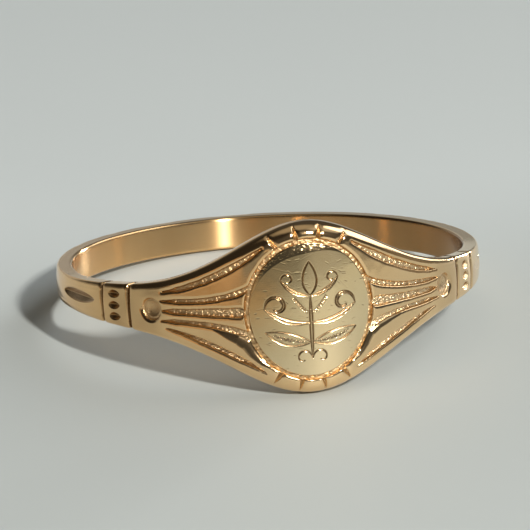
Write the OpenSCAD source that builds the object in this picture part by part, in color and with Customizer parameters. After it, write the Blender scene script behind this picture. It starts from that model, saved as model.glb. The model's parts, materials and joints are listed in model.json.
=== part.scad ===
// Signet ring: oval seal table on a fluted head, three-pip collars and a tapering hoop.
// The ring is drawn about its own bore (bore along Z, head towards -Y) and then laid down the way
// it rests on a flat surface: on the lower edge of the head and the lower edge of the hoop's back.

/* [Finger] */
// Inside diameter of the hoop
bore_d = 15.7; // [14.5:0.1:17.5]

/* [Hoop] */
// Width of the hoop at the back
band_w = 1.31; // [1.2:0.01:1.5]
// Thickness of the hoop
band_t = 0.68; // [0.62:0.01:0.8]
// Width of the flat rim of the hoop
rim_w = 0.53; // [0.4:0.01:0.55]

/* [Head] */
// Height of the head along the finger
head_h = 6.86; // [6.5:0.02:7.4]
// Thickness of the head at its middle
head_t = 0.97; // [0.9:0.01:1.15]

/* [Seal table] */
// Width of the table, to the middle of the groove around it
table_w = 4.96; // [4.2:0.02:5.2]
// Height of the table, to the middle of the groove around it
table_h = 5.48; // [4.8:0.02:5.6]
// Thickness of the table plate
table_t = 0.40; // [0.3:0.01:0.5]
// Width of the groove around the table
groove_w = 0.18; // [0.1:0.01:0.25]
// Depth of the groove around the table
groove_d = 0.13; // [0.08:0.01:0.18]

/* [Ornament] */
// Depth of the flutes on the shoulders
flute_d = 0.12; // [0.06:0.01:0.18]
// Depth of the round pit at the root of the flutes
pit_d = 0.24; // [0.1:0.01:0.3]
// Diameter of the round pit
pit_w = 0.92; // [0.6:0.02:1.0]
// Depth of the pips on the collars
pip_d = 0.13; // [0.08:0.01:0.2]
// Spacing of the pips
pip_pitch = 0.46; // [0.4:0.01:0.5]
// Depth of the long graver cut on each side of the hoop
navette_d = 0.16; // [0.08:0.01:0.25]

/* [Solder] */
// Width of a hard-soldered seam
seam_w = 0.05; // [0.03:0.01:0.08]
// Width of the groove at each collar seam
ring_groove_w = 0.16; // [0.1:0.01:0.24]
// Depth of the groove at each collar seam
ring_groove_d = 0.12; // [0.06:0.01:0.16]

/* [Hidden] */
$fn = 96;

gold = "#c9a66b";
gold_light = "#d8bb84";
solder = "#b98b4a";

bore_r = bore_d / 2;
rim_r = bore_r + rim_w;
band_r = bore_r + band_t;
head_r = bore_r + head_t;
band_z = band_w / 2;
head_z = head_h / 2;
kz = head_h / 6.86;

// seams on each side of the head, in degrees from its middle
head_seam = 51.2;
shank_seam = 61.7;
pip_at = 56.6;
pit_at = 43.3;

// outer face of the head: a cylinder set forward of the bore, so the wall thins towards the collars
seam_r = band_r + 0.02;
face_off = (head_r - seam_r) / (1 - cos(head_seam) + pow(sin(head_seam), 2) * 0.045);
face_r = head_r - face_off;

// resting pose: the lean, the height of the bore's middle, and how far back it lies of the ring's middle
tilt = atan((head_z - band_z) / (bore_r + rim_r));
lift = head_z * cos(tilt) - bore_r * sin(tilt);
edge_drop = 0.41; // how much further the head's foremost line lies from its rim than the hoop's rearmost
back_shift = ((head_r - band_r) * cos(tilt) + (head_z - band_z - edge_drop) * sin(tilt)) / 2;

// share of the head in the shape at an angle from the middle of the head: 1 there, 0 on the hoop
function swell(a) = abs(a) >= 89.9 ? 0
    : 0.93 * exp(-pow(a / 28.2, 2)) + 0.07 * pow(1 - pow(abs(a) / 90, 5), 3);
// half width of the ring along the bore
function half_z(a) = band_z + (head_z - band_z) * swell(a);
// radius of the outer face
function face_at(a) = abs(a) < shank_seam
    ? max(band_r, face_off * cos(a) + sqrt(pow(face_r, 2) - pow(face_off * sin(a), 2))) : band_r;
// flat rim, then the height of the rounded edge
function rim_at(a) = bore_r + rim_w + (0.22 - rim_w) * swell(a);
function edge_at(a) = 0.29 + 0.34 * swell(a);

// waste outside the rounded edge of the ring, as a cross section in [radius, height]
function waste(a) = let (h = half_z(a), r1 = rim_at(a), r2 = face_at(a),
    z2 = h - edge_at(a), m = [r1 + (r2 - r1) * 0.72, z2 + (h - z2) * 0.70],
    p = [r1, h] + ([r1, h] - m) * 0.4, q = [r2, z2] + ([r2, z2] - m) * 0.5, far = head_r + 0.8)
    [p, m, q, [far, z2 - 0.2], [far, h + 0.8], [p[0], h + 0.8]];

// that waste swept from one angle to another
module edge_waste(a0, a1, step) {
    n = round((a1 - a0) / step);
    m = len(waste(0));
    pts = [for (i = [0:n]) let (a = a0 + (a1 - a0) * i / n)
        for (p = waste(a > 180 ? 360 - a : a)) [p[0] * sin(a), -p[0] * cos(a), p[1]]];
    sides = [for (i = [0:n - 1], j = [0:m - 1], t = [0, 1]) let (k = (j + 1) % m) t == 0
        ? [i * m + j, (i + 1) * m + k, (i + 1) * m + j] : [i * m + j, i * m + k, (i + 1) * m + k]];
    polyhedron(pts, concat([[for (j = [m - 1:-1:0]) j]], [[for (j = [0:m - 1]) n * m + j]], sides),
        convexity = 8);
}

// sector between two angles around the bore
module sector(a0, a1) linear_extrude(2 * head_h, center = true)
    polygon([[0, 0], for (k = [0:8]) let (a = min(a0, a1) + abs(a1 - a0) * k / 8)
        [16 * sin(a), -16 * cos(a)]]);

// waste above the flat rim between two angles where the ring narrows: the space above several
// sloping planes, each through one radius and the next
module rim_waste(a0, a1, n) intersection_for(i = [0:n])
    let (a = a0 + (a1 - a0) * i / n, d = (a1 - a0) / n, h = half_z(a),
        k = i == n ? 0 : (half_z(a + d) - h) / ((bore_r + 0.4) * sin(d)))
    at(a) translate([0, 0, h]) rotate([0, -atan(k), 0]) translate([-20, -20, 0]) cube([40, 40, 6]);

// the outline of the head as seen from the front
module outline() {
    r = (bore_r + head_r) / 2 - 0.15;
    a = [for (i = [-26:26]) i * 2.2];
    polygon(concat([for (q = a) [r * sin(q), half_z(q)]],
        [for (i = [len(a) - 1:-1:0]) [r * sin(a[i]), -half_z(a[i])]]));
}

module bore() translate([0, 0, -head_h]) cylinder(r = bore_r, h = 2 * head_h, $fn = 360);

// turns children that are drawn at the middle of the head to an angle around the bore
module at(a) rotate([0, 0, a]) children();

// cylinder with the head's outer face, moved in by s
module barrel(s = 0) translate([0, -face_off, 0])
    cylinder(r = face_r - s, h = 2 * head_h, center = true, $fn = 360);

// cylinder with the hoop's outer face, moved in by s
module drum(s = 0) cylinder(r = band_r - s, h = 2 * head_z, center = true, $fn = 360);

// everything in front of the head's outer face moved in by s
module skin(s) difference() {
    translate([-7, -head_r - 1, -head_z - 0.5]) cube([14, 5, head_h + 1]);
    barrel(s);
}

// an upright prism through the front of the ring, drawn as seen from the front
module front() translate([0, -face_r * 0.5, 0]) rotate([90, 0, 0]) linear_extrude(head_r) children();

module oval(grow) scale([table_w / 2 + grow, table_h / 2 + grow]) circle(r = 1, $fn = 180);

// point on the face as seen from the front, from an angle and a height
function spot(p) = [face_at(p[0]) * sin(p[0]), p[1] * kz];
function bez(p, t) = p[0] * pow(1 - t, 2) + p[1] * 2 * t * (1 - t) + p[2] * t * t;
// outline of a flute along a curve of three points [angle, height]
module flute(p, w0, w1, blunt = 0, n = 16) {
    c = [for (i = [0:n]) spot(bez(p, i / n))];
    w = [for (i = [0:n]) let (t = i / n) (w0 + (w1 - w0) * t) * (blunt == 1
        ? sqrt(max(0, 1 - pow(max(0, (t - 0.94) / 0.06), 2))) * min(1, 0.25 + t * 5)
        : blunt == 2 ? sin(180 * t) + 0.02 : min(1, 0.2 + t * 5)) / 2];
    d = [for (i = [0:n]) let (v = c[min(n, i + 1)] - c[max(0, i - 1)]) [-v[1], v[0]] / norm(v)];
    polygon(concat([for (i = [0:n]) c[i] + d[i] * w[i]], [for (i = [n:-1:0]) c[i] - d[i] * w[i]]));
}

// the flutes of the right shoulder as seen from the front
module shoulder_flutes() {
    flute([[39, 0.74], [25.5, 1.10], [12.3, 2.46]], 0.15, 0.30, blunt = 1);
    flute([[39.5, 0.43], [22, 0.38], [15.8, 0.95]], 0.14, 0.19);
    flute([[39.5, 0], [28, 0], [18.0, 0]], 0.12, 0.36, blunt = 1);
    flute([[39.5, -0.43], [22, -0.38], [15.8, -0.95]], 0.14, 0.19);
    flute([[39, -0.74], [25.5, -1.10], [12.3, -2.46]], 0.26, 0.26, blunt = 2);
}

// a graver cut that runs out of the table groove towards the edge of the head
module notch(a) {
    x = (table_w / 2) * sin(a);
    z = (table_h / 2) * cos(a);
    translate([x, -face_r - face_off + groove_d + (1 - cos(asin(x / face_r))) * face_r, z])
        rotate([0, atan2(x * 1.25, z), 0]) rotate([26, 0, 0]) rotate([0, 0, 45])
        translate([-0.16, -0.16, -0.05]) cube([0.16, 0.16, 0.62]);
}

// a lens-shaped graver cut, drawn at the middle of the head: length, depth, half height
module lens_cut(r, len, wide, deep) {
    big = (pow(len / 2, 2) + pow(wide, 2)) / (2 * wide);
    intersection() {
        rotate([90, 0, 0]) linear_extrude(r + 1) intersection() {
            translate([0, wide - big]) circle(r = big, $fn = 360);
            translate([0, big - wide]) circle(r = big, $fn = 360);
        }
        difference() {
            translate([-len, -r - 0.5, -2]) cube([2 * len, 2, 4]);
            cylinder(r = r - deep, h = 6, center = true, $fn = 180);
        }
    }
}

// groove and edge nicks at a collar seam, on both sides of the seam
module seam_groove(a) at(a) {
    translate([-ring_groove_w / 2, -face_at(a) - 1, -2]) cube([ring_groove_w, 1 + ring_groove_d, 4]);
    for (s = [-1, 1]) translate([0, -bore_r - rim_w / 2 + 0.2, s * half_z(a)]) rotate([0, 45, 0])
        cube([0.11, rim_w * 2, 0.11], center = true);
}

// hard solder in the seam at an angle; it stays below the groove and the rim
module seam(a) difference() {
    intersection() {
        drum(ring_groove_d);
        at(a) translate([-seam_w / 2, -head_r - 1, -half_z(a) + 0.07])
            cube([seam_w, head_r + 1, 2 * half_z(a) - 0.14]);
    }
    bore();
}

// the space that a seam leaves between two pieces
module seam_gap(a) at(a) translate([-seam_w / 2, -head_r - 1, -2]) cube([seam_w, head_r + 1, 4]);

module placed() translate([0, back_shift, lift]) rotate([-tilt, 0, 0]) children();

module shank() color(gold) placed() difference() {
    intersection() {
        drum();
        sector(shank_seam, 360 - shank_seam);
    }
    bore();
    for (m = [0, 1], k = [0, 1]) mirror([0, 0, m]) mirror([k, 0, 0]) intersection() {
        rim_waste(shank_seam, 90, 5);
        translate([0, -20, -20]) cube(40);
    }
    for (m = [0, 1]) mirror([0, 0, m]) {
        rotate_extrude(angle = 180, $fn = 360) polygon(waste(90));
        edge_waste(shank_seam - 2, 90, 3);
        edge_waste(-90, 2 - shank_seam, 3);
    }
    for (s = [-1, 1]) {
        seam_gap(s * shank_seam);
        seam_groove(s * shank_seam);
        at(s * 74.2) lens_cut(band_r, 2.75, 0.20, navette_d);
    }
}

module collar(side) color(gold_light) placed() difference() {
    intersection() {
        drum();
        sector(side * head_seam, side * shank_seam);
    }
    bore();
    for (m = [0, 1]) mirror([0, 0, m]) {
        mirror([side > 0 ? 0 : 1, 0, 0]) rim_waste(head_seam - 1, shank_seam + 3, 4);
        edge_waste(side * (head_seam + shank_seam) / 2 - 7, side * (head_seam + shank_seam) / 2 + 7, 2);
    }
    for (a = [head_seam, shank_seam]) {
        seam_gap(side * a);
        seam_groove(side * a);
    }
    at(side * pip_at) for (k = [-1:1]) translate([0, 0, k * pip_pitch])
        lens_cut(face_at(pip_at), 0.38, 0.13, pip_d);
}

module left_collar() collar(-1);
module right_collar() collar(1);

module signet_head() color(gold) placed() difference() {
    intersection() {
        barrel();
        front() outline();
        sector(-head_seam, head_seam);
    }
    bore();
    for (m = [0, 1]) mirror([0, 0, m]) edge_waste(-head_seam - 2, head_seam + 2, 3);
    for (s = [-1, 1]) {
        seam_gap(s * head_seam);
        seam_groove(s * head_seam);
        at(s * pit_at) translate([0, -face_at(pit_at), 0]) rotate([90, 0, 0])
            translate([0, 0, (pow(pit_w / 2, 2) + pow(pit_d, 2)) / (2 * pit_d) - pit_d])
            sphere(r = (pow(pit_w / 2, 2) + pow(pit_d, 2)) / (2 * pit_d));
    }
    intersection() {
        skin(flute_d);
        front() for (m = [0, 1]) mirror([m, 0]) shoulder_flutes();
    }
    difference() {
        front() oval(groove_w / 2);
        barrel(table_t + seam_w);
    }
    for (m = [0, 1], a = [-28.5, -9.5, 9.5, 28.5]) mirror([0, 0, m]) notch(a);
}

module signet_plate() color(gold_light) placed() difference() {
    intersection() {
        front() oval(-groove_w / 2);
        barrel();
    }
    barrel(table_t);
}

module plate_solder() color(solder) placed() difference() {
    intersection() {
        front() oval(groove_w / 2);
        barrel(groove_d);
    }
    difference() {
        front() oval(-groove_w / 2);
        barrel(table_t);
    }
    barrel(table_t + seam_w);
}

module left_shank_solder() color(solder) placed() seam(-shank_seam);
module right_shank_solder() color(solder) placed() seam(shank_seam);
module left_head_solder() color(solder) placed() seam(-head_seam);
module right_head_solder() color(solder) placed() seam(head_seam);

shank();
left_collar();
right_collar();
signet_head();
signet_plate();
plate_solder();
left_shank_solder();
right_shank_solder();
left_head_solder();
right_head_solder();
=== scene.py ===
import json
import math

import bpy
import numpy as np
from mathutils import Matrix, Vector


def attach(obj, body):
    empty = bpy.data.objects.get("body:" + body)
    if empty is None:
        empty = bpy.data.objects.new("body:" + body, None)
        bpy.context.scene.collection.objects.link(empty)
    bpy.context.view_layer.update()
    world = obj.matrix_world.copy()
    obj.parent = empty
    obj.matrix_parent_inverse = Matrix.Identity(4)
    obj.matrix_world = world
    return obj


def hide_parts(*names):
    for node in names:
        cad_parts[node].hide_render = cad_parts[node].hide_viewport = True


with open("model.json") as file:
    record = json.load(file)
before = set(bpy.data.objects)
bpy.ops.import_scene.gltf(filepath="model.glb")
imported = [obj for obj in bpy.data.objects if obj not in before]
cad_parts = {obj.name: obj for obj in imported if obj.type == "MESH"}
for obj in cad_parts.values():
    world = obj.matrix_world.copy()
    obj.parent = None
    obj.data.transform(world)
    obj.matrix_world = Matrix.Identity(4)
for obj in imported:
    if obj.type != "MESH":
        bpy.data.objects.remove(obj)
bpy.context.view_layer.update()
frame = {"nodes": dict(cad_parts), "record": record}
MM = 0.001

# A gold signet ring. Its pieces are drawn about the bore, in mm, with the head towards -Y, and then laid
# in their resting pose. Angles go round the bore from the head's middle, in degrees, right ones positive.

# ---------------------------------------------------------------- pose and sizes (mm, degrees)
BORE = next(m for m in frame["record"]["mounts"] if m["name"] == "finger_bore")
BORE_R = BORE["dims"]["r_mm"]
CY, CZ = BORE["pos_m"][1] / MM, BORE["pos_m"][2] / MM
TILT = math.atan2(BORE["axis"][1], BORE["axis"][2])
HEAD_SEAM, SHANK_SEAM, PIP_AT, PIT_AT, NAVETTE_AT = 51.2, 61.7, 56.6, 43.3, 74.2  # degrees from the middle
BAND_T, HEAD_T = 0.68, 0.97  # thickness of the hoop and of the head's middle
BAND_Z, HEAD_Z = 0.655, 3.43  # half heights of the same
RIM_W, HEAD_RIM_W = 0.53, 0.22  # width of the flat rim there
TABLE_A, TABLE_B, GROOVE_W = 2.48, 2.74, 0.18  # half axes to the middle of the groove, and its width
SEAM_W = 0.05
EDGE_FILLET, EDGE_POWER = 0.11, 0.86  # fillet at the bore's edge, and how full the face's rounded edge is
BAND_R, HEAD_R = BORE_R + BAND_T, BORE_R + HEAD_T
# the face is one round, off the bore's middle, that stands 0.02 proud of the band at the head's seam
S0 = math.radians(HEAD_SEAM)
FACE_OFF = (HEAD_R - BAND_R - 0.02) / (1 - math.cos(S0) + math.sin(S0) ** 2 * 0.045)
FACE_R = HEAD_R - FACE_OFF


def swell(a):
    """Share of the head in the shape, at an angle in degrees from its middle."""
    a = np.minimum(np.abs(a), 90.0)
    return 0.93 * np.exp(-((a / 28.2) ** 2)) + 0.07 * (1 - (a / 90.0) ** 5) ** 3


def half_z(a):
    """Half height of the ring at an angle."""
    return BAND_Z + (HEAD_Z - BAND_Z) * swell(a)


def face_at(a):
    """Radius of the outside at an angle."""
    r = np.radians(np.minimum(np.abs(a), SHANK_SEAM))
    return np.maximum(BAND_R, FACE_OFF * np.cos(r) + np.sqrt(FACE_R**2 - (FACE_OFF * np.sin(r)) ** 2))


def rim_at(a):
    """Radius where the flat rim ends and the rounded edge begins."""
    return BORE_R + RIM_W + (HEAD_RIM_W - RIM_W) * swell(a)


def edge_at(a):
    """Height of the rounded edge."""
    return 0.29 + 0.34 * swell(a) + 0.10 * np.exp(-(((np.abs(a) - 12) / 13.0) ** 2))


def crown_at(a):
    """How far the face falls off from its middle line to the edge."""
    return 0.025 + 0.035 * swell(a)


def place(p):
    """Points drawn about the bore (mm) to the resting pose, in metres."""
    c, s = math.cos(TILT), math.sin(TILT)
    out = np.empty_like(p)
    out[..., 0] = p[..., 0]
    out[..., 1] = p[..., 1] * c + p[..., 2] * s + CY
    out[..., 2] = -p[..., 1] * s + p[..., 2] * c + CZ
    return out * MM


# ---------------------------------------------------------------- small maths
def smooth(lo, hi, x):
    """0 at lo and 1 at hi, eased at both ends."""
    t = np.clip((x - lo) / (hi - lo), 0, 1)
    return t * t * (3 - 2 * t)


def hash3(i, j, seed):
    """Repeatable pseudo-random number in 0..1 for a whole-numbered place."""
    h = (i.astype(np.int64) * 73856093) ^ (j.astype(np.int64) * 19349663) ^ (seed * 83492791)
    h = (h ^ (h >> 13)) * 1274126177 & 0x7FFFFFFF
    return (h ^ (h >> 16)) % 65536 / 65535.0


def noise(x, y, seed=1):
    """Smooth value noise in 0..1."""
    i, j = np.floor(x), np.floor(y)
    u, v = x - i, y - j
    u, v = u * u * (3 - 2 * u), v * v * (3 - 2 * v)
    a, b = hash3(i, j, seed), hash3(i + 1, j, seed)
    c, d = hash3(i, j + 1, seed), hash3(i + 1, j + 1, seed)
    return (a * (1 - u) + b * u) * (1 - v) + (c * (1 - u) + d * u) * v


def along(px, py, line):
    """Distance from points to a polyline, and how far along it (0..1) the nearest place is."""
    best = np.full(px.shape, 1e9)
    where = np.zeros(px.shape)
    seg = np.diff(line, axis=0)
    length = np.hypot(seg[:, 0], seg[:, 1])
    total = length.sum()
    run = 0.0
    for k in range(len(seg)):
        dx, dy = px - line[k, 0], py - line[k, 1]
        t = np.clip((dx * seg[k, 0] + dy * seg[k, 1]) / max(length[k] ** 2, 1e-12), 0, 1)
        d = np.hypot(dx - t * seg[k, 0], dy - t * seg[k, 1])
        m = d < best
        best[m] = d[m]
        where[m] = (run + t[m] * length[k]) / total
        run += length[k]
    return best, where


def bezier(p0, p1, p2, n=24):
    t = np.linspace(0, 1, n + 1)[:, None]
    return np.array(p0) * (1 - t) ** 2 + np.array(p1) * 2 * t * (1 - t) + np.array(p2) * t**2


# ---------------------------------------------------------------- the cut ornament, as depths in mm
ARC_IN = 0.05  # arcs along the face are measured this far below it


def arc_mm(a):
    return np.radians(a) * (face_at(a) - ARC_IN)


def arc_at(a):
    """The same for a single angle."""
    return math.radians(a) * float(face_at(np.array(a)) - ARC_IN)


FLUTES = [  # three points [degrees, height], half widths at both ends (mm), kind of inner end
    ((39.9, 0.74), (25.5, 1.10), (12.0, 2.52), 0.070, 0.172, "taper"),
    ((40.3, 0.40), (22.0, 0.38), (15.4, 1.00), 0.070, 0.112, "open"),
    ((40.4, 0.0), (28.0, 0.0), (18.2, 0.0), 0.070, 0.195, "blunt"),
    ((40.3, -0.40), (22.0, -0.38), (15.4, -1.00), 0.070, 0.118, "open"),
    ((39.0, -0.70), (25.5, -1.12), (12.0, -2.48), 0.118, 0.118, "lens"),
]
CREST = np.array([  # the line of the corner below the fourth flute [degrees, height]
    (25.5, -0.62), (22.5, -0.71), (18.5, -0.88), (16.0, -1.12), (14.5, -1.52), (12.6, -1.95), (10.8, -2.22),
])
FALL_LEFT, FALL_RIGHT = (0.155, 0.36), (0.085, 0.17)  # how deep and how wide the land falls off there
NOTCH_TURNS, NOTCH_FAN = (-28.5, -9.5, 9.5, 28.5), 1.15  # degrees round the table, and how they splay
NOTCH_REACH, NOTCH_HALF_W, NOTCH_D = (0.70, 0.62), 0.115, 0.17
LAND_ROLL, LAND_ROLL_W = 0.027, 0.13  # the lands are worn round towards the cuts
WALL = (-0.045, 0.012)  # where a cut's wall begins and ends, from its drawn line
FLOOR_D, SEAT_D = 0.150, 0.24
PIT_R, PIT_BOWL_R, PIT_D, PIT_LIP = 0.45, 0.47, 0.25, 0.060
PIP_HALF_LEN, PIP_HALF_W, PIP_D, PIP_PITCH = 0.315, 0.160, 0.155, 0.445
SEAM_GROOVE_HALF_W, SEAM_GROOVE_D = 0.095, 0.130
NAVETTE_HALF_LEN, NAVETTE_HALF_W, NAVETTE_D = 1.36, 0.262, 0.185
# how matt the smaller cuts are, and how much darker they are painted; a pair is for the left side and the
# right one
NOTCH_GRAIN, SEAM_GRAIN, PIP_GRAIN, NAVETTE_GRAIN = 0.5, 0.3, 0.25, 0.2
# painted shade at the foot of the cut walls; the notches are painted darker; the seam grooves are tarnished
# joints
FOOT_SHADE, NOTCH_DARKENING, SEAM_TARNISH = 0.62, 0.6, 1.1
# painted shade in the pips and navettes, heavier on the left, which mirrors a dark room; a darker, warmer
# band round the pit and collars
PIP_SHADE, NAVETTE_SHADE, PIT_COLLAR_DARKENING = (0.85, 0.22), (0.80, 0.30), (0.20, 0.30)


def grain_relief(x, y, seed):
    """Punched-looking grain on the cut floors (mm), from tool marks about 0.06 mm apart."""
    return (noise(x * 15, y * 15, seed) - 0.5) * 0.050 + (noise(x * 6, y * 6, seed + 1) - 0.5) * 0.012


def ornament(a, z):
    """The cut ornament at angle a (degrees) and height z (mm): its depth (mm), and how matt, how
    tarnished and how grainy it is there (0..1)."""
    s = arc_mm(a)
    side = np.where(a < 0, -1.0, 1.0)
    sa = np.abs(s)
    x = (face_at(a) - ARC_IN) * np.sin(np.radians(a))
    wobble = 0.022 * (noise(s * 2.7 + 60, z * 2.7 + 60, 5) - 0.5)
    wobble = wobble + 0.010 * (noise(s * 9 + 60, z * 9 + 60, 6) - 0.5)

    # how far each point lies outside the nearest cut: flutes, table groove, pit
    gap = np.full(a.shape, 9.0)
    near = np.abs(a) < 46
    sn, zn = sa[near], z[near]
    best = np.full(sn.shape, 9.0)
    for p0, p1, p2, w0, w1, kind in FLUTES:
        line = bezier(p0, p1, p2, 32)
        line = np.stack([arc_mm(line[:, 0]), line[:, 1]], 1)
        d, t = along(sn, zn, line)
        if kind == "lens":
            w = w0 * np.clip(np.sin(np.pi * t), 0, 1) ** 0.6 - 0.012
        else:
            w = (w0 + (w1 - w0) * t**0.8) * np.minimum(1, 0.2 + 5 * t)
        if kind == "taper":
            w = w * np.sqrt(1 - 0.93 * smooth(0.62, 1.0, t))
        best = np.minimum(best, d - w)
    gap[near] = best
    rho = np.hypot(x / TABLE_A, z / TABLE_B)
    oval = np.abs((rho - 1) * np.hypot(x, z) / np.maximum(rho, 1e-6)) - GROOVE_W / 2
    oval = np.where(np.abs(a) < 30, oval, 9.0)
    inside = (rho < 1) & (np.abs(a) < 30)
    c = arc_at(PIT_AT)
    pit = np.hypot((sa - c) * 0.98, z - 0.02)
    gap = np.minimum(gap, np.minimum(oval, pit - PIT_R)) + wobble

    # graver notches around the table's upper and lower edge
    notch = np.full(a.shape, 9.0)
    notch_v = np.zeros(a.shape)
    for sign in (1, -1):
        for q in NOTCH_TURNS:
            cx, cz = TABLE_A * math.sin(math.radians(q)), TABLE_B * math.cos(math.radians(q))
            lean = math.radians(q * NOTCH_FAN)
            nx, nz = math.sin(lean), math.cos(lean)
            tip = [cx + NOTCH_REACH[0] * nx, sign * (cz + NOTCH_REACH[1] * nz)]
            hit = (np.abs(x - cx) < 1.1) & (np.abs(z - sign * cz) < 1.1) & (np.abs(a) < 40)
            d, t = along(x[hit], z[hit], np.array([[cx, sign * cz], tip]))
            w = NOTCH_HALF_W * (1 - t) ** 0.55 + 0.004
            notch[hit] = np.minimum(notch[hit], d - w)
            v = np.clip(1 - d / w, 0, 1) * (t < 0.999) * (1 - 0.35 * t)
            notch_v[hit] = np.maximum(notch_v[hit], v)

    floor = 1 - smooth(*WALL, gap)
    roll = LAND_ROLL * np.clip(1 - gap / LAND_ROLL_W, 0, 1) ** 2 * (1 - floor)
    roll = np.hypot(roll, 0.020 * np.clip(1 - notch / 0.15, 0, 1) ** 2 * (1 - floor) * (notch > 0))
    depth = FLOOR_D * floor + roll * (gap > WALL[0])
    grain = 1 - smooth(-0.03, 0.0, gap)
    # painted shade along the foot of each cut's wall
    dirt = FOOT_SHADE * np.exp(-(((gap + 0.010) / 0.024) ** 2))

    # the table groove is deeper, and the seat under the table is flat
    moat = 1 - smooth(*WALL, oval + wobble)
    depth = np.maximum(depth, np.where(inside, SEAT_D, SEAT_D * moat))

    # the land below the fourth flute falls away into the corner beside the table
    crest = np.stack([arc_mm(CREST[:, 0]), CREST[:, 1]], 1)
    fall = np.zeros(a.shape)
    d, t = along(sn, zn, crest)
    swing = np.sin(np.pi * np.clip(t, 0, 1))
    left = s[near] < 0
    deepest = np.where(left, FALL_LEFT[0], FALL_RIGHT[0])
    reach = 0.10 + np.where(left, FALL_LEFT[1], FALL_RIGHT[1]) * swing
    fall[near] = deepest * swing**0.8 * np.clip(1 - d / reach, 0, 1) ** 1.6
    depth = depth + np.where((z < 0) & ~inside & (gap > -0.02), fall, 0)

    depth = np.maximum(depth, NOTCH_D * notch_v**0.8)
    grain = np.maximum(grain, NOTCH_GRAIN * smooth(0.0, 0.3, notch_v))
    dirt = np.maximum(dirt, NOTCH_DARKENING * smooth(0.1, 0.8, notch_v))

    # round pit at the root of the flutes
    bowl = np.clip(1 - (pit / PIT_BOWL_R) ** 2, 0, 1)
    depth = np.maximum(depth, PIT_D * bowl**0.8)
    turn = ((sa - c) * 0.75 - z * 0.66) / np.maximum(pit, 0.05)
    lip = np.clip(1 - (pit - PIT_R) / 0.15, 0, 1) ** 2 * (pit > PIT_R) * smooth(0.1, 0.9, turn)
    depth = depth + PIT_LIP * lip * (1 - floor)
    # the pit's bowl is left clean; round it the painted shade is kept full on its lower, outer side, a dark
    # crescent, and thinned elsewhere
    dirt = dirt * (1 - 0.85 * smooth(0.0, 0.2, bowl))
    dirt = np.where(pit < 0.54, dirt * (0.45 + 0.55 * smooth(-0.3, 0.6, turn)), dirt)

    # the floors of the left shoulder are painted darker in patches, painted shade where that side mirrors
    # the dark room, and the pits are nearly smooth
    patches = 0.12 + 0.42 * noise(s * 2.3 + 40, z * 2.3 + 40, 14)
    dirt = np.maximum(dirt, grain * (1 - smooth(0, 0.2, bowl)) * smooth(2, -14, a) * patches)
    relief = grain * (1 - 0.82 * smooth(0.0, 0.3, bowl)) * (1 - 0.5 * moat * smooth(-1.5, 1.5, s))

    # collar: seam grooves and pips
    for seam in (HEAD_SEAM, SHANK_SEAM):
        d = np.abs(sa - arc_at(seam))
        v = np.clip(1 - d / SEAM_GROOVE_HALF_W, 0, 1)
        depth = np.maximum(depth, SEAM_GROOVE_D * np.minimum(1, 2.0 * v))
        depth = depth + 0.022 * np.clip(1 - (d - 0.09) / 0.13, 0, 1) ** 2 * (d > 0.09)
        grain = np.maximum(grain, SEAM_GRAIN * smooth(0.0, 0.3, v))
        dirt = np.maximum(dirt, SEAM_TARNISH * smooth(0.0, 0.25, v))
    c = math.radians(PIP_AT) * (BAND_R - ARC_IN)
    for k in (-1, 0, 1):
        u = (sa - c) / PIP_HALF_LEN
        w = PIP_HALF_W * np.clip(1 - u * u, 0, 1) ** 0.62 * (1 + 0.15 * u)
        off = np.abs(z - k * PIP_PITCH + 0.01 * k * side)
        v = np.clip(1 - off / np.maximum(w, 1e-4), 0, 1) * (np.abs(u) < 1)
        depth = np.maximum(depth, PIP_D * v**0.8 * np.sqrt(np.clip(1 - u * u, 0, 1)))
        grain = np.maximum(grain, PIP_GRAIN * smooth(0.0, 0.2, v))
        # painted shade in the pips, heavier on the left
        dirt = np.maximum(dirt, np.where(a < 0, *PIP_SHADE) * smooth(0.0, 0.35, v))

    # a darker, warmer band round the pit and the collars, stronger on the right, and painted shade over the
    # whole left side
    darkening = smooth(37, 44, np.abs(a)) * (1 - smooth(61, 68, np.abs(a)))
    darkening = np.where(a < 0, *PIT_COLLAR_DARKENING) * darkening + 0.10 * smooth(2, -30, a)
    dirt = np.maximum(dirt, darkening * (0.55 + 0.9 * noise(s * 1.7 + 80, z * 1.7 + 80, 12)))

    # long graver cut on each side of the hoop
    c = math.radians(NAVETTE_AT) * (BAND_R - ARC_IN)
    u = np.clip((sa - c) / NAVETTE_HALF_LEN, -1, 1)
    w = NAVETTE_HALF_W * np.clip(1 - u * u, 0, 1) ** 0.60
    v = np.clip(1 - np.abs(z - 0.05) / np.maximum(w, 1e-4), 0, 1) * (np.abs(u) < 1)
    depth = np.maximum(depth, NAVETTE_D * v**0.85 * np.clip(1 - u * u, 0, 1) ** 0.4)
    grain = np.maximum(grain, NAVETTE_GRAIN * smooth(0.0, 0.2, v))
    # painted shade in the navette, heavier on the left
    dirt = np.maximum(dirt, np.where(a < 0, *NAVETTE_SHADE) * smooth(0.0, 0.3, v))
    return depth, grain, dirt, np.minimum(relief, grain)


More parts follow.
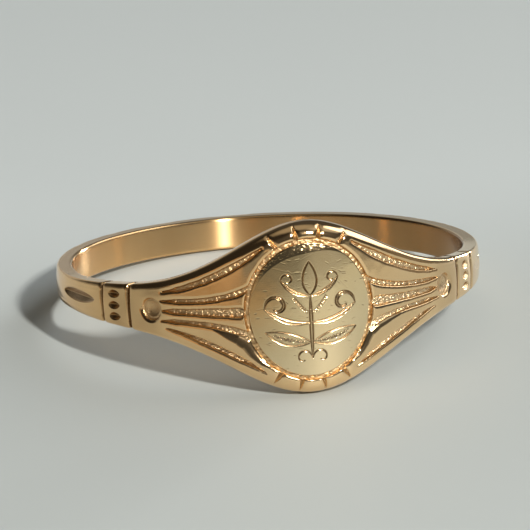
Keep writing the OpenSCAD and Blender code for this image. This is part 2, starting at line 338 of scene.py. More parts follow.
# ---------------------------------------------------------------- lofted metal
def section(a, n_face, n_in):
    """Closed cross section at one angle: points [r, z], and a code per point (0 face, 1 flat rim,
    2 bore). The loop runs from the lower rim up the face and down the bore."""
    h, r1, r2 = float(half_z(a)), float(rim_at(a)), float(face_at(a))
    e, c = float(edge_at(a)), float(crown_at(a))
    z2 = h - e
    f, k = EDGE_FILLET, EDGE_POWER
    q = np.linspace(0, math.pi / 2, 40)
    bull = np.stack([r1 + (r2 - c - r1) * np.sin(q) ** k, z2 + e * np.cos(q) ** k], 1)
    zz = np.linspace(z2, 0, 60)[1:]
    face = np.stack([r2 - c * (zz / z2) ** 2, zz], 1)
    half = np.concatenate([bull, face])
    line = np.concatenate([half, (half * [1, -1])[::-1][1:]])[::-1]
    step = np.hypot(*np.diff(line, axis=0).T)
    run = np.concatenate([[0], np.cumsum(step)])
    t = np.linspace(0, run[-1], n_face)
    outer = np.stack([np.interp(t, run, line[:, 0]), np.interp(t, run, line[:, 1])], 1)
    code = [0] * n_face
    rim_n = 6
    top = [[r1 + (BORE_R + f - r1) * i / rim_n, h] for i in range(1, rim_n + 1)]
    fil = [[BORE_R + f - f * math.sin(b), h - f + f * math.cos(b)] for b in (0.4, 0.8, 1.2, math.pi / 2)]
    zi = np.linspace(h - f, -h + f, n_in)[1:-1]
    inner = [[BORE_R, v] for v in zi]
    low = [[r, -v] for r, v in (fil[::-1] + top[::-1])]
    pts = np.concatenate([outer, np.array(top), np.array(fil), np.array(inner), np.array(low)])
    code += [1] * rim_n + [2] * (len(fil) + len(zi) + len(fil)) + [1] * rim_n
    return pts, np.array(code)


def loft(angles, n_face, n_in=14):
    """Grid of points about the bore over the given angles, with its masks."""
    sections = [section(a, n_face, n_in) for a in angles]
    P, C = np.array([p for p, _ in sections]), sections[-1][1]
    nu, nv = P.shape[:2]
    A = np.repeat(np.asarray(angles)[:, None], nv, 1)
    # outward normal within each section
    nxt, prv = np.roll(P, -1, 1), np.roll(P, 1, 1)
    tan = nxt - prv
    nrm = np.stack([tan[..., 1], -tan[..., 0]], -1)
    nrm /= np.maximum(np.linalg.norm(nrm, axis=-1, keepdims=True), 1e-9)

    depth, grain, dirt, relief = ornament(A, P[..., 1])
    outside = np.repeat((C == 0)[None, :], nu, 0)
    depth, grain, dirt, relief = (np.where(outside, v, 0) for v in (depth, grain, dirt, relief))
    s = arc_mm(A)
    # grain on the floors, wear on the lands, filing marks on the rounded edge
    rough = grain_relief(s + 30, P[..., 1] + 30, 3)
    # the deeper hollows of the grain are painted darker
    dirt = np.maximum(dirt, relief * smooth(0.004, 0.028, rough) * 0.34)
    ws = np.radians(np.where(A < -120, A + 360, A)) * BAND_R + 40
    wear = (noise(ws * 1.3, P[..., 1] * 1.3, 7) - 0.5) * 0.012
    wear = wear + (noise(ws * 3.5, P[..., 1] * 3.0, 8) - 0.5) * 0.004
    depth = depth + relief * rough + np.where(outside, wear * (1 - grain), 0)
    bevel = np.clip((np.abs(P[..., 1]) - (half_z(A) - edge_at(A))) / 0.08, 0, 1) * outside
    across = P[..., 1] / (0.05 + 0.10 * half_z(A)) + P[..., 0] * 6 + 70
    filed = (noise(ws * 0.6 + 9, across, 41) - 0.5) * 0.014
    depth = depth + bevel * filed * (1 - grain)
    # nicks in the flat rim where the seam grooves run over it
    sa = np.abs(s)
    rimm = np.repeat((C == 1)[None, :], nu, 0)
    for seam in (HEAD_SEAM, SHANK_SEAM):
        d = np.abs(sa - arc_at(seam))
        nick = rimm & (P[..., 0] > BORE_R + 0.16)
        depth = depth + np.where(nick, 0.07 * (1 - smooth(0.03, 0.11, d)), 0)
        dirt = np.maximum(dirt, np.where(nick, 0.6 * (1 - smooth(0.02, 0.08, d)), 0))

    q = P - nrm * depth[..., None]
    q[..., 1] = np.clip(q[..., 1], -half_z(A), half_z(A))
    rad = np.radians(A)
    X = np.stack([q[..., 0] * np.sin(rad), -q[..., 0] * np.cos(rad), q[..., 1]], -1)
    bore = np.repeat((C == 2)[None, :], nu, 0).astype(float)
    return X, {"grain": grain, "dirt": dirt, "bore": bore, "s_mm": ws, "z_mm": P[..., 1]}


def grid_normals(X):
    """Smooth outward normals of a grid that is closed across."""
    du = np.gradient(X, axis=0)
    dv = np.roll(X, -1, 1) - np.roll(X, 1, 1)
    n = np.cross(du, dv)
    return n / np.maximum(np.linalg.norm(n, axis=-1, keepdims=True), 1e-12)


def object_from(name, verts, faces, attrs, normals, material, body="root"):
    """A mesh object on a body, with its material and one number per vertex for each of attrs."""
    me = bpy.data.meshes.new(name)
    me.from_pydata([tuple(v) for v in verts], [], faces)
    for key, val in attrs.items():
        at = me.attributes.new(key, "FLOAT", "POINT")
        at.data.foreach_set("value", np.asarray(val, np.float32).ravel())
    me.polygons.foreach_set("use_smooth", [True] * len(me.polygons))
    me.update()
    me.validate()
    if normals is not None:
        me.normals_split_custom_set_from_vertices([tuple(v) for v in normals])
    ob = bpy.data.objects.new(name, me)
    bpy.context.scene.collection.objects.link(ob)
    me.materials.append(material)
    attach(ob, body)
    return ob


def loft_object(name, X, N, attrs, i0, i1, material):
    """One closed piece from columns i0..i1 of a lofted grid."""
    Q = place(X[i0 : i1 + 1])
    nu, nv = Q.shape[:2]
    idx = np.arange(nu * nv).reshape(nu, nv)
    nx = np.roll(idx, -1, 1)
    quads = np.stack([idx[:-1], idx[1:], nx[1:], nx[:-1]], -1).reshape(-1, 4)
    faces = quads.tolist()
    in_bore = attrs["bore"][0] > 0.5
    inner = np.tile(in_bore & np.roll(in_bore, -1), nu - 1).astype(int)
    verts = Q.reshape(-1, 3)
    # end faces on vertices of their own, so that they stay sharp
    base = nu * nv
    verts = np.concatenate([verts, Q[0], Q[-1]])
    faces.append([base + j for j in range(nv)])
    faces.append([base + nv + j for j in range(nv - 1, -1, -1)])
    c, sn = math.cos(TILT), math.sin(TILT)
    M = N[i0 : i1 + 1]
    R = np.stack([M[..., 0], M[..., 1] * c + M[..., 2] * sn, -M[..., 1] * sn + M[..., 2] * c], -1)
    R = R.reshape(-1, 3)

    def ends(v):
        w = v[i0 : i1 + 1]
        return np.concatenate([w.ravel(), w[0], w[-1]])

    def end_normals(last, before):
        n = (last - before).mean(0)
        return np.repeat((n / np.linalg.norm(n))[None], nv, 0)

    normals = np.concatenate([R, end_normals(Q[0], Q[1]), end_normals(Q[-1], Q[-2])])
    ob = object_from(name, verts, faces, {k: ends(v) for k, v in attrs.items()}, normals, material)
    ob.data.materials.append(BORE_GOLD)
    ob.data.polygons.foreach_set("material_index", np.concatenate([inner, [0, 0]]))
    return ob


# ---------------------------------------------------------------- materials
def nodes_of(name):
    """A new material, its node tree and its shader."""
    mat = bpy.data.materials.new(name)
    mat.use_nodes = True
    nt = mat.node_tree
    return mat, nt, nt.nodes["Principled BSDF"]


def add(nt, kind, **props):
    n = nt.nodes.new(kind)
    for k, v in props.items():
        setattr(n, k, v)
    return n


def mix_rgb(nt, fac, a, b):
    m = add(nt, "ShaderNodeMix", data_type="RGBA", blend_type="MIX")
    for sock, v in ((m.inputs[0], fac), (m.inputs[6], a), (m.inputs[7], b)):
        if isinstance(v, bpy.types.NodeSocket):
            nt.links.new(v, sock)
        else:
            sock.default_value = v
    return m.outputs[2]


def math_node(nt, op, a, b=None, c=None, clamp=False):
    m = add(nt, "ShaderNodeMath", operation=op, use_clamp=clamp)
    for sock, v in zip(m.inputs, (a, b, c)):
        if v is None:
            continue
        if isinstance(v, bpy.types.NodeSocket):
            nt.links.new(v, sock)
        else:
            sock.default_value = v
    return m.outputs[0]


def noise_tex(nt, vec, scale, detail=4.0, rough=0.55):
    n = add(nt, "ShaderNodeTexNoise")
    n.inputs["Scale"].default_value = scale
    n.inputs["Detail"].default_value = detail
    n.inputs["Roughness"].default_value = rough
    nt.links.new(vec, n.inputs["Vector"])
    return n.outputs[0]


def split(nt, vec):
    """The x, y and z of a vector."""
    n = add(nt, "ShaderNodeSeparateXYZ")
    nt.links.new(vec, n.inputs[0])
    return n.outputs


def attribute(nt, name):
    return add(nt, "ShaderNodeAttribute", attribute_name=name).outputs["Fac"]


def ramp_node(nt, value, lo, hi, top=1.0):
    """0 at lo and top at hi, eased at both ends."""
    m = add(nt, "ShaderNodeMapRange", interpolation_type="SMOOTHSTEP")
    nt.links.new(value, m.inputs[0])
    m.inputs[1].default_value, m.inputs[2].default_value = lo, hi
    m.inputs[3].default_value, m.inputs[4].default_value = 0.0, top
    return m.outputs[0]


def bump_node(nt, shader, height, strength, distance_mm):
    bump = add(nt, "ShaderNodeBump")
    bump.inputs["Strength"].default_value = strength
    bump.inputs["Distance"].default_value = distance_mm * MM
    nt.links.new(height, bump.inputs["Height"])
    nt.links.new(bump.outputs["Normal"], shader.inputs["Normal"])


def object_mm(nt, squash=(1, 1, 1)):
    """Object coordinates in millimetres."""
    tc = add(nt, "ShaderNodeTexCoord")
    mp = add(nt, "ShaderNodeMapping")
    mp.inputs["Scale"].default_value = tuple(v / MM for v in squash)
    nt.links.new(tc.outputs["Object"], mp.inputs["Vector"])
    return mp.outputs["Vector"]


def surface_mm(nt, ks, kz):
    """Coordinates along and across the hoop, from the mesh's own measures."""
    c = add(nt, "ShaderNodeCombineXYZ")
    nt.links.new(math_node(nt, "MULTIPLY", attribute(nt, "s_mm"), ks), c.inputs[0])
    nt.links.new(math_node(nt, "MULTIPLY", attribute(nt, "z_mm"), kz), c.inputs[1])
    return c.outputs[0]


# tones in pairs, shaded for the left of the ring and lit for the right: painted shade on the left side,
# which mirrors a dark room
POLISHED_SHADED, POLISHED_LIT = (0.95, 0.61, 0.295, 1), (0.98, 0.71, 0.41, 1)
TABLE_SHADED, TABLE_LIT = (0.69, 0.50, 0.26, 1), (0.91, 0.72, 0.44, 1)
DEEP_SHADED, DEEP_LIT = (0.88, 0.58, 0.29, 1), (0.98, 0.76, 0.49, 1)
# the bore: two tones in bands round the hoop, and painted shade on its right side
SATIN, SATIN_DEEP, SATIN_SHADE = (0.87, 0.575, 0.285, 1), (0.68, 0.42, 0.185, 1), (0.36, 0.205, 0.085, 1)
# the colour of tarnish, also used for painted shade
TARNISH_AND_SHADE = (0.22, 0.12, 0.048, 1)
SHADE_LINE_MID, SHADE_LINE_LEAN = 4.4, -1.3  # where the two tones of a pair meet, and how the line between them leans


def gold(name, tone, tone2, polish=0.10, scratch=1.0, slant=0.0, reach=8.0):
    """Worn polished gold, painted from the shaded `tone` at the left to the lit `tone2` at the right over
    `reach` mm each way.
    """
    mat, nt, b = nodes_of(name)
    b.inputs["Metallic"].default_value = 1.0
    vec = object_mm(nt)
    grain = attribute(nt, "grain")
    x, _, z = split(nt, vec)
    # painted shade: the share of the lit tone grows from the left of the ring to the right, with a random
    # tone over it
    across = math_node(nt, "ADD", x, SHADE_LINE_MID - slant)
    lit_side = math_node(nt, "MULTIPLY_ADD", z, SHADE_LINE_LEAN, across)
    lit_side = math_node(nt, "MULTIPLY_ADD", lit_side, 0.5 / reach, 0.5, clamp=True)
    drift = math_node(nt, "MULTIPLY_ADD", lit_side, 1.0, -0.25)
    tint = math_node(nt, "MULTIPLY_ADD", noise_tex(nt, vec, 0.5, 3.0), 0.5, drift, clamp=True)
    col = mix_rgb(nt, tint, tone, tone2)
    deep = mix_rgb(nt, lit_side, DEEP_SHADED, DEEP_LIT)
    col = mix_rgb(nt, math_node(nt, "MULTIPLY", grain, 0.9), col, deep)
    # tarnish, and painted shade in the cuts and on the left side, from the mesh's mask
    dirt = attribute(nt, "dirt")
    col = mix_rgb(nt, math_node(nt, "MULTIPLY", dirt, 0.85), col, TARNISH_AND_SHADE)
    nt.links.new(col, b.inputs["Base Color"])
    # roughness: polished lands, matt floors, worn patches
    patch = noise_tex(nt, vec, 2.3, 5.0, 0.6)
    fine = noise_tex(nt, vec, 30.0, 4.0, 0.6)
    r = math_node(nt, "MULTIPLY_ADD", patch, 0.08, polish - 0.04)
    r = math_node(nt, "MULTIPLY_ADD", grain, 0.15, r)
    r = math_node(nt, "MULTIPLY_ADD", dirt, 0.12, r)
    r = math_node(nt, "MULTIPLY_ADD", math_node(nt, "SUBTRACT", fine, 0.5), 0.08, r, clamp=True)
    nt.links.new(r, b.inputs["Roughness"])
    # relief: hairline scratches on the lands, grain on the floors
    hair = noise_tex(nt, object_mm(nt, (3.0, 3.0, 45.0)), 1.0, 2.0, 0.7)
    hair2 = noise_tex(nt, object_mm(nt, (40.0, 5.0, 4.0)), 1.0, 2.0, 0.7)
    pitted = noise_tex(nt, vec, 24.0, 3.0, 0.7)
    h = math_node(nt, "MULTIPLY", hair, 0.10 * scratch)
    h = math_node(nt, "MULTIPLY_ADD", hair2, 0.08 * scratch, h)
    h = math_node(nt, "MULTIPLY_ADD", math_node(nt, "MULTIPLY", pitted, grain), 2.8, h)
    bump_node(nt, b, h, 0.55, 0.012)
    return mat


def bore_gold():
    """Satin gold of the bore: polished round the hoop, so that highlights stand across it."""
    mat, nt, b = nodes_of("satin_bore_gold")
    b.inputs["Metallic"].default_value = 1.0
    b.inputs["Anisotropic"].default_value = 1.0
    b.inputs["Anisotropic Rotation"].default_value = 0.25
    band = noise_tex(nt, surface_mm(nt, 0.85, 0.12), 1.0, 2.0, 0.5)
    line = noise_tex(nt, surface_mm(nt, 0.5, 16.0), 1.0, 2.0, 0.6)
    here = add(nt, "ShaderNodeTexCoord").outputs["Object"]
    # painted shade, growing towards the bore's right side
    darkening = ramp_node(nt, split(nt, here)[0], 2.0 * MM, 7.5 * MM, 0.85)
    tone = mix_rgb(nt, band, SATIN, SATIN_DEEP)
    nt.links.new(mix_rgb(nt, darkening, tone, SATIN_SHADE), b.inputs["Base Color"])
    nt.links.new(math_node(nt, "MULTIPLY_ADD", band, 0.06, 0.19), b.inputs["Roughness"])
    # direction round the hoop, at each point
    arm = add(nt, "ShaderNodeVectorMath", operation="SUBTRACT")
    nt.links.new(here, arm.inputs[0])
    arm.inputs[1].default_value = (0, CY * MM, CZ * MM)
    cross = add(nt, "ShaderNodeVectorMath", operation="CROSS_PRODUCT")
    cross.inputs[0].default_value = (0, math.sin(TILT), math.cos(TILT))
    nt.links.new(arm.outputs[0], cross.inputs[1])
    unit = add(nt, "ShaderNodeVectorMath", operation="NORMALIZE")
    nt.links.new(cross.outputs[0], unit.inputs[0])
    nt.links.new(unit.outputs[0], b.inputs["Tangent"])
    bump_node(nt, b, line, 0.35, 0.004)
    return mat


def solder_material(name, light, dark):
    """Solder as it set: rough, and blotched between two tones."""
    mat, nt, b = nodes_of(name)
    b.inputs["Metallic"].default_value = 1.0
    vec = object_mm(nt)
    n = noise_tex(nt, vec, 14.0, 4.0, 0.65)
    col = mix_rgb(nt, n, light, dark)
    col = mix_rgb(nt, math_node(nt, "MULTIPLY", attribute(nt, "dirt"), 0.8), col, TARNISH_AND_SHADE)
    nt.links.new(col, b.inputs["Base Color"])
    r = math_node(nt, "MULTIPLY_ADD", n, 0.2, 0.28)
    nt.links.new(r, b.inputs["Roughness"])
    bump_node(nt, b, noise_tex(nt, vec, 22.0, 3.0, 0.7), 0.6, 0.02)
    return mat


GOLD = gold("polished_gold", POLISHED_SHADED, POLISHED_LIT)
PLATE_GOLD = gold("table_gold", TABLE_SHADED, TABLE_LIT, polish=0.11, scratch=0.5, slant=-0.6, reach=3.0)
BORE_GOLD = bore_gold()
SOLDER = solder_material("hard_solder", (0.90, 0.63, 0.35, 1), (0.82, 0.54, 0.27, 1))
SEAM_SOLDER = solder_material("tarnished_solder", (0.20, 0.10, 0.036, 1), (0.12, 0.06, 0.023, 1))

# ---------------------------------------------------------------- the ring's pieces
HALF_SEAM = math.degrees(SEAM_W / 2 / (BAND_R - 0.3))


def steps(a0, a1, mm):
    """Angles from a0 to a1 that are about mm apart on the hoop."""
    n = max(4, int(round(math.radians(abs(a1 - a0)) * BAND_R / mm)))
    return np.linspace(a0, a1, n + 1)


# points across the outside; with the column spacings below, no piece passes 200,000 triangles
HEAD_ROWS, COLLAR_ROWS, SHANK_ROWS = 280, 90, 72

# head: one grid, shown as a middle and two shoulders that share their edge columns and normals
CUT = 20  # degrees
h0 = HEAD_SEAM - HALF_SEAM
cols = np.concatenate([steps(-h0, -CUT, 0.025)[:-1], steps(-CUT, CUT, 0.023)[:-1], steps(CUT, h0, 0.025)])
X, attrs = loft(cols, HEAD_ROWS)
N = grid_normals(X)
i_l = int(np.argmin(np.abs(cols + CUT)))
i_r = int(np.argmin(np.abs(cols - CUT)))
for name, i0, i1 in (
    ("head_left_shoulder", 0, i_l),
    ("head_middle", i_l, i_r),
    ("head_right_shoulder", i_r, len(cols) - 1),
):
    ob = loft_object(name, X, N, attrs, i0, i1, GOLD)
    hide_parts("signet_head")

# collars
for side, name in ((-1, "left_collar"), (1, "right_collar")):
    a0, a1 = HEAD_SEAM + HALF_SEAM, SHANK_SEAM - HALF_SEAM
    cols = steps(a0, a1, 0.024) if side > 0 else steps(-a1, -a0, 0.024)
    X, attrs = loft(cols, COLLAR_ROWS)
    ob = loft_object(name + "_worn", X, grid_normals(X), attrs, 0, len(cols) - 1, GOLD)
    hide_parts(name)

# shank: fine columns where the graver cuts are, wider ones round the back
a0 = SHANK_SEAM + HALF_SEAM
cols = np.concatenate([steps(a0, 90, 0.035)[:-1], steps(90, 270, 0.08)[:-1], steps(270, 360 - a0, 0.035)])
X, attrs = loft(np.where(cols > 180, cols - 360, cols), SHANK_ROWS)
ob = loft_object("shank_worn", X, grid_normals(X), attrs, 0, len(cols) - 1, GOLD)
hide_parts("shank")


# ---------------------------------------------------------------- the seal table
OVAL_A, OVAL_B = TABLE_A - GROOVE_W / 2, TABLE_B - GROOVE_W / 2  # half axes of the table itself
TABLE_ROLL, TABLE_T = 0.035, 0.21  # round of its edge, and how thick it shows
FLOOR_BELOW = 0.125  # from the table's face down to the solder
SINGLE_D, DOUBLE_D, SHADING_D, WRIGGLE = 0.050, 0.052, 0.036, 0.055  # depths of the engraved cuts
TABLE_GRID = 306  # squares along each side of the face's grid


def worn_edge(x, z):
    """How far a point lies outside the line where the table's top edge is worn to a facet (mm)."""
    rho = np.maximum(np.hypot(x / OVAL_A, z / OVAL_B), 1e-6)
    inward = (1 - rho) * np.hypot(x, z) / rho
    turn = np.degrees(np.arctan2(x, z)) + 6
    width = 0.45 * np.exp(-((turn / np.where(turn < 0, 52.0, 31.0)) ** 2))
    return np.clip(width - 0.03 - inward, 0, 1)


def table_y(x, z):
    """How far forward the face is at x and z (mm), as the y of a point about the bore."""
    dome = 0.050 * (z / 2.8) ** 2 + 0.012 * ((x / 2.4) ** 2)
    worn = worn_edge(x, z)
    facet = 0.16 * worn * smooth(0.0, 0.04, worn)
    return -(FACE_OFF + np.sqrt(FACE_R**2 - x**2)) + dome + facet


def spiral(cx, cz, r0, r1, a0, a1, n=40):
    """Line round a middle, from radius r0 at a0 degrees to r1 at a1."""
    t = np.linspace(0, 1, n + 1)
    a = np.radians(a0 + (a1 - a0) * t)
    r = r0 + (r1 - r0) * t
    return np.stack([cx + r * np.cos(a), cz + r * np.sin(a)], 1)


def ornament_strokes():
    """A generic engraved sprig: (line, half width, gap between its two cuts, whether it wriggles)."""
    out = [(bezier((0, -1.92), (0.0, -0.6), (0, 0.58)), 0.040, 0.11, 0)]
    for m in (-1, 1):

        def f(*p):
            return tuple((m * q[0], q[1]) for q in p)

        def curl(cx, cz, r0, r1, a0, a1):
            """Spiral on this side, from its angles on the right one."""
            return spiral(m * cx, cz, r0, r1, *((a0, a1) if m > 0 else (180 - a0, 180 - a1)))

        # bud at the top: a pointed middle leaf and two turned ones
        out.append((bezier(*f((0, 0.58), (0.56, 1.15), (0.0, 1.92))), 0.044, 0.0, 0))
        out.append((bezier(*f((0.05, 0.56), (0.78, 0.66), (1.13, 1.22))), 0.042, 0.10, 0))
        out.append((curl(0.88, 1.24, 0.26, 0.09, 0, 300), 0.038, 0.0, 0))
        # volutes
        out.append((bezier(*f((0.03, -0.50), (0.95, -0.62), (1.78, 0.10))), 0.046, 0.13, 0))
        out.append((curl(1.34, 0.20, 0.47, 0.14, -14, 320), 0.042, 0.09, 0))
        out.append((bezier(*f((0.12, -0.10), (0.50, 0.24), (0.66, 0.52))), 0.030, 0.0, 1))
        # lower leaves
        out.append((bezier(*f((0.03, -1.30), (0.85, -0.74), (1.80, -0.82))), 0.040, 0.0, 0))
        out.append((bezier(*f((0.03, -1.30), (1.10, -1.66), (1.80, -0.82))), 0.048, 0.0, 0))
        out.append((bezier(*f((0.22, -1.27), (0.90, -1.22), (1.50, -0.93))), 0.030, 0.0, 1))
        # foot
        out.append((curl(0.36, -1.90, 0.34, 0.11, 178, -110), 0.036, 0.0, 0))
    return out


def engraving(x, z):
    """Depth of the engraved sprig (mm) and the share of it that is cut."""
    depth, mask = np.zeros(x.shape), np.zeros(x.shape)

    def cut(line, w, deep):
        lo, hi = line.min(0) - 0.1, line.max(0) + 0.1
        near = (x > lo[0]) & (x < hi[0]) & (z > lo[1]) & (z < hi[1])
        if not near.any():
            return
        d, t = along(x[near], z[near], line)
        ww = w * (0.35 + 0.65 * np.sin(np.pi * np.clip(t, 0.02, 0.98)) ** 0.6)
        v = np.clip(1 - d / ww, 0, 1)
        depth[near] = np.maximum(depth[near], deep * v)
        mask[near] = np.maximum(mask[near], smooth(0.0, 0.35, v))

    for line, w, gap, wriggle in ornament_strokes():
        tan = np.gradient(line, axis=0)
        tan /= np.maximum(np.hypot(tan[:, 0], tan[:, 1])[:, None], 1e-9)
        nrm = np.stack([-tan[:, 1], tan[:, 0]], 1)
        t = np.linspace(0, 1, len(line))
        if wriggle:
            k = 16
            tt = np.linspace(0, 1, k + 1)
            c = np.stack([np.interp(tt, t, line[:, 0]), np.interp(tt, t, line[:, 1])], 1)
            nn = np.stack([np.interp(tt, t, nrm[:, 0]), np.interp(tt, t, nrm[:, 1])], 1)
            cut(c + nn * (WRIGGLE * (-1.0) ** np.arange(k + 1))[:, None], w, SHADING_D)
        elif gap:
            off = (gap * 0.5 * np.sin(np.pi * t) ** 0.7)[:, None]
            cut(line + nrm * off, w, DOUBLE_D)
            cut(line - nrm * off, w, DOUBLE_D)
        else:
            cut(line, w, SINGLE_D)
    return depth, mask


def field_scratches(x, z, count=150, seed=5):
    """Short hairline scratches and dents of wear on the table, mostly level ones (mm deep)."""
    rng = np.random.default_rng(seed)
    depth = np.zeros(x.shape)
    for _ in range(count):
        cx, cz = rng.uniform(-2.2, 2.2), rng.uniform(-2.5, 2.5)
        turn = math.radians(rng.normal(-8, 24))
        half = rng.uniform(0.03, 0.10) if rng.random() < 0.8 else rng.uniform(0.15, 0.45)
        w, deep = rng.uniform(0.018, 0.028), rng.uniform(0.0012, 0.0035)
        if half > 0.12:
            w, deep = 0.016, 0.0009
        near = (np.abs(x - cx) < half + 0.05) & (np.abs(z - cz) < half + 0.05)
        if not near.any():
            continue
        end = np.array([math.cos(turn), math.sin(turn)]) * half
        d, t = along(x[near], z[near], np.array([[cx, cz] - end, [cx, cz] + end]))
        depth[near] = np.maximum(depth[near], deep * np.clip(1 - d / w, 0, 1))
    return depth


def disc_grid(n):
    """Square grid mapped smoothly onto the unit disc."""
    u, v = np.meshgrid(np.linspace(-1, 1, n + 1), np.linspace(-1, 1, n + 1), indexing="ij")
    return u * np.sqrt(1 - v * v / 2), v * np.sqrt(1 - u * u / 2)


def rim_loop(n):
    """The outside of an (n+1) square grid's indices, once round."""
    i = np.arange((n + 1) * (n + 1)).reshape(n + 1, n + 1)
    return np.concatenate([i[:-1, 0], i[-1, :-1], i[1:, -1][::-1], i[0, 1:][::-1]])


def make_table():
    """The engraved oval: a fine grid on its face, a rolled edge, a side wall and a plain back."""
    n = TABLE_GRID
    u, v = disc_grid(n)
    a, b, f = OVAL_A, OVAL_B, TABLE_ROLL
    x, zz = u * (a - f), v * (b - f)
    d, mask = engraving(x, zz)
    wear = (noise(x * 1.1 + 20, zz * 1.1 + 20, 17) - 0.5) * 0.005
    wear = wear + (noise(x * 5 + 9, zz * 5 + 9, 18) - 0.5) * 0.0006
    worn = smooth(0.03, 0.12, worn_edge(x, zz))
    dents = (noise(x * 6 + 70, zz * 9 + 70, 31) - 0.5) * 0.006
    dents = dents + (noise(x * 20 + 70, zz * 26 + 70, 32) - 0.5) * 0.009
    y = table_y(x, zz) + d + wear + field_scratches(x, zz) + worn * dents
    top = np.stack([x, y, zz], -1).reshape(-1, 3)
    loop = rim_loop(n)
    ring = top[loop]
    ux, uz = u.ravel()[loop], v.ravel()[loop]
    rows = []
    for q in (0.5, 1.0, 1.57):
        g = f * math.sin(q)
        rows.append(np.stack([ux * (a - f + g), ring[:, 1] + f * (1 - math.cos(q)), uz * (b - f + g)], 1))
    rows.append(np.stack([ux * a, ring[:, 1] + TABLE_T, uz * b], 1))
    verts = np.concatenate([top] + rows)
    idx = np.arange((n + 1) ** 2).reshape(n + 1, n + 1)
    faces = np.stack([idx[:-1, :-1], idx[:-1, 1:], idx[1:, 1:], idx[1:, :-1]], -1).reshape(-1, 4)
    faces = faces[:, ::-1].tolist()
    m = len(loop)
    prev = loop
    for k in range(len(rows)):
        cur = (n + 1) ** 2 + k * m + np.arange(m)
        faces += np.stack([np.roll(prev, -1), prev, cur, np.roll(cur, -1)], 1).tolist()
        prev = cur
    faces.append(prev[::-1].tolist())
    extra = np.zeros(len(rows) * m)
    grain = np.concatenate([np.maximum(mask * 0.3, worn * 0.12).ravel(), extra])
    # the engraved cuts are painted darker: tarnish held in them, and painted shade on their walls
    dirt = np.concatenate([(mask * 0.9).ravel(), extra])
    ob = object_from("table_engraved", place(verts), faces,
                     {"grain": grain, "dirt": dirt}, None, PLATE_GOLD)
    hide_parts("signet_plate")


def make_table_solder():
    """The groove's floor: a grainy ring of solder under and around the table."""
    n_a, n_r = 900, 16
    al = np.linspace(0, 2 * math.pi, n_a, endpoint=False)
    rr = np.linspace(-0.05, GROOVE_W + 0.03, n_r)
    A, R = np.meshgrid(al, rr, indexing="ij")
    x, zz = (OVAL_A + R) * np.cos(A), (OVAL_B + R) * np.sin(A)
    bead = 0.012 * np.cos((R - GROOVE_W / 2) / GROOVE_W * math.pi) ** 2
    rough = grain_relief(x + 50, zz + 50, 21)
    y = table_y(x, zz) + FLOOR_BELOW - bead + rough
    top = np.stack([x, y, zz], -1).reshape(-1, 3)
    low = top + [0, 0.08, 0]
    idx = np.arange(n_a * n_r).reshape(n_a, n_r)
    nx = np.roll(idx, -1, 0)
    k = n_a * n_r
    faces = np.stack([idx[:, :-1], nx[:, :-1], nx[:, 1:], idx[:, 1:]], -1).reshape(-1, 4).tolist()
    under = np.stack([idx[:, :-1], idx[:, 1:], nx[:, 1:], nx[:, :-1]], -1) + k
    faces += under.reshape(-1, 4).tolist()
    for j, flip in ((0, False), (n_r - 1, True)):
        q = np.stack([idx[:, j], idx[:, j] + k, nx[:, j] + k, nx[:, j]], 1)
        faces += (q[:, ::-1] if flip else q).tolist()
    faces = [f[::-1] for f in faces]
    verts = np.concatenate([top, low])
    # the solder's deeper grain is painted darker
    ob = object_from("table_solder_ring", place(verts), faces,
                     {"grain": np.ones(len(verts)), "dirt": np.tile(smooth(0.002, 0.026, rough).ravel(), 2)},
                     None, SOLDER)
    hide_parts("plate_solder")


make_table()
make_table_solder()

# the four seams keep their CAD solids, with a tarnished solder
for name in ("left_shank_solder", "right_shank_solder", "left_head_solder", "right_head_solder"):
    me = frame["nodes"][name].data
    me.materials.clear()
    me.materials.append(SEAM_SOLDER)
    for p in me.polygons:
        p.material_index = 0

# ---------------------------------------------------------------- floor, light, camera
SHEET = (0.65, 0.695, 0.695, 1), (0.675, 0.72, 0.715, 1)
SHEET_SHADED_FRONT = (0.515, 0.55, 0.54, 1), (0.535, 0.57, 0.56, 1)
HALF_SHADE, WARM_SHADE = (0.47, 0.50, 0.48, 1), (0.44, 0.335, 0.215, 1)
FLOOR_HALF = 0.6  # metres

floor_mat, nt, b = nodes_of("pale_floor")
here = add(nt, "ShaderNodeTexCoord").outputs["Object"]
floor_x, floor_y, _ = split(nt, here)
mottle = noise_tex(nt, here, 30.0, 3.0, 0.5)
# painted shade: the sheet is darker before the ring than behind it
front_shade = ramp_node(nt, floor_y, -3 * MM, 16 * MM)
near = mix_rgb(nt, front_shade, mix_rgb(nt, mottle, *SHEET_SHADED_FRONT), mix_rgb(nt, mottle, *SHEET))
# nearer than the camera sees, the sheet falls into half shade, warmer towards the left
shade = mix_rgb(nt, ramp_node(nt, floor_x, 5 * MM, -45 * MM), HALF_SHADE, WARM_SHADE)
shade_fade = ramp_node(nt, floor_y, -20 * MM, -55 * MM)
nt.links.new(mix_rgb(nt, shade_fade, near, shade), b.inputs["Base Color"])
b.inputs["Roughness"].default_value = 0.5
b.inputs["Specular IOR Level"].default_value = 0.15
me = bpy.data.meshes.new("floor")
k = FLOOR_HALF
me.from_pydata([(-k, -k, 0), (k, -k, 0), (k, k, 0), (-k, k, 0)], [], [(0, 1, 2, 3)])
me.materials.append(floor_mat)
floor = bpy.data.objects.new("floor", me)
bpy.context.scene.collection.objects.link(floor)

world = bpy.data.worlds.new("studio")
bpy.context.scene.world = world
world.use_nodes = True
nt = world.node_tree
bg = nt.nodes["Background"]
DIRECTION = add(nt, "ShaderNodeTexCoord").outputs["Generated"]


def toward(az, el):
    """Unit direction; azimuth 0 is the viewer's side (-Y), 90 is +X."""
    az, el = math.radians(az), math.radians(el)
    return (math.sin(az) * math.cos(el), -math.cos(az) * math.cos(el), math.sin(el))


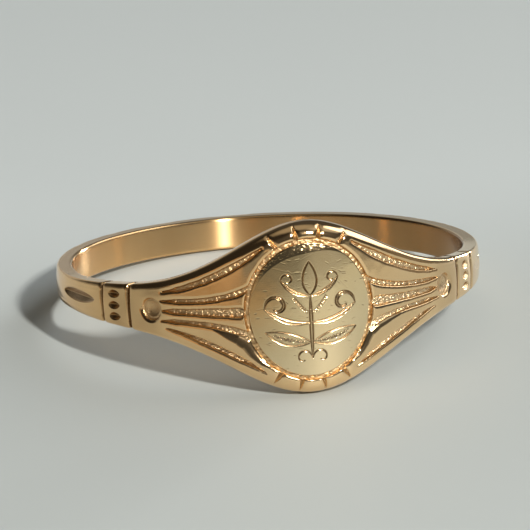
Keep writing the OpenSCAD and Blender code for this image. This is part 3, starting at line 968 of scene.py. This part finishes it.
def lobe(az, el, full, gone):
    """1 within `full` degrees of a direction, falling smoothly to 0 at `gone` degrees."""
    d = add(nt, "ShaderNodeVectorMath", operation="DOT_PRODUCT")
    nt.links.new(DIRECTION, d.inputs[0])
    d.inputs[1].default_value = toward(az, el)
    return ramp_node(nt, d.outputs["Value"], math.cos(math.radians(gone)), math.cos(math.radians(full)))


# the room that the gold mirrors: dark above, paler low down, with soft round patches
SKY_DARK, SKY_LOW = (0.062, 0.063, 0.062, 1), (0.25, 0.26, 0.25, 1)
ROOM = (  # azimuth, elevation, radius of the full patch and of its soft end (degrees), colour
    (-78, 50, 38, 56, (0.026, 0.024, 0.021, 1)),
    (-52, -4, 16, 28, (0.50, 0.39, 0.27, 1)),
    (20, -8, 9, 19, (0.48, 0.50, 0.49, 1)),
    (88, 4, 8, 24, (0.20, 0.18, 0.15, 1)),
    (62, 56, 6, 22, (0.50, 0.52, 0.53, 1)),
    (100, 43, 12, 22, (2.5, 2.56, 2.62, 1)),
    (124, 25, 7, 16, (2.4, 2.46, 2.52, 1)),
    (-168, 6, 14, 26, (0.44, 0.46, 0.46, 1)),
    (131, 5, 2, 5, (75.0, 75.0, 72.0, 1)),
    (20, 90, 10, 34, (0.34, 0.33, 0.29, 1)),
)
sky = mix_rgb(nt, ramp_node(nt, split(nt, DIRECTION)[2], 0.19, 0.03), SKY_DARK, SKY_LOW)
for *patch, colour in ROOM:
    sky = mix_rgb(nt, lobe(*patch), sky, colour)
nt.links.new(sky, bg.inputs[0])
bg.inputs[1].default_value = 1.0

# one soft window at the viewer's right
KEY_AT, KEY_DIST, KEY_SIZE, KEY_AIM = (18, 37), 300, (16, 34), (0, 0, 3)  # degrees, mm
KEY_POWER, KEY_COLOUR = 0.84, (1.0, 0.975, 0.92)
li = bpy.data.lights.new("window", "AREA")
li.shape = "RECTANGLE"
li.size, li.size_y = KEY_SIZE[0] * MM, KEY_SIZE[1] * MM
li.energy, li.color = KEY_POWER, KEY_COLOUR
key = bpy.data.objects.new("window", li)
bpy.context.scene.collection.objects.link(key)
key.location = Vector(toward(*KEY_AT)) * KEY_DIST * MM
key.rotation_euler = (Vector(KEY_AIM) * MM - key.location).to_track_quat("-Z", "Y").to_euler()

# the camera looks at the bore's middle, a little off it
VIEW_AT, ROLL, VIEW_DIST = (-10.96, 20.8), math.radians(0.92), 300.0
OFF_RIGHT, OFF_UP = -0.1135, 0.1257
LENS, SENSOR = 505.902, 36.0
cam_data = bpy.data.cameras.new("view")
cam = bpy.data.objects.new("view", cam_data)
bpy.context.scene.collection.objects.link(cam)
bpy.context.scene.camera = cam
bpy.context.scene.view_settings.view_transform = "Standard"
back = Vector(toward(*VIEW_AT))
right = Vector((math.cos(math.radians(VIEW_AT[0])), math.sin(math.radians(VIEW_AT[0])), 0))
up = back.cross(right)
aim = Vector((0, CY, CZ)) + right * OFF_RIGHT + up * OFF_UP
cam.location = (aim + back * VIEW_DIST) * MM
r2 = right * math.cos(ROLL) - up * math.sin(ROLL)
u2 = right * math.sin(ROLL) + up * math.cos(ROLL)
cam.rotation_euler = Matrix((r2, u2, back)).transposed().to_euler()
cam_data.sensor_width = SENSOR
cam_data.lens = LENS
cam_data.clip_start, cam_data.clip_end = 0.01, 3.0
cam_data.dof.use_dof = False
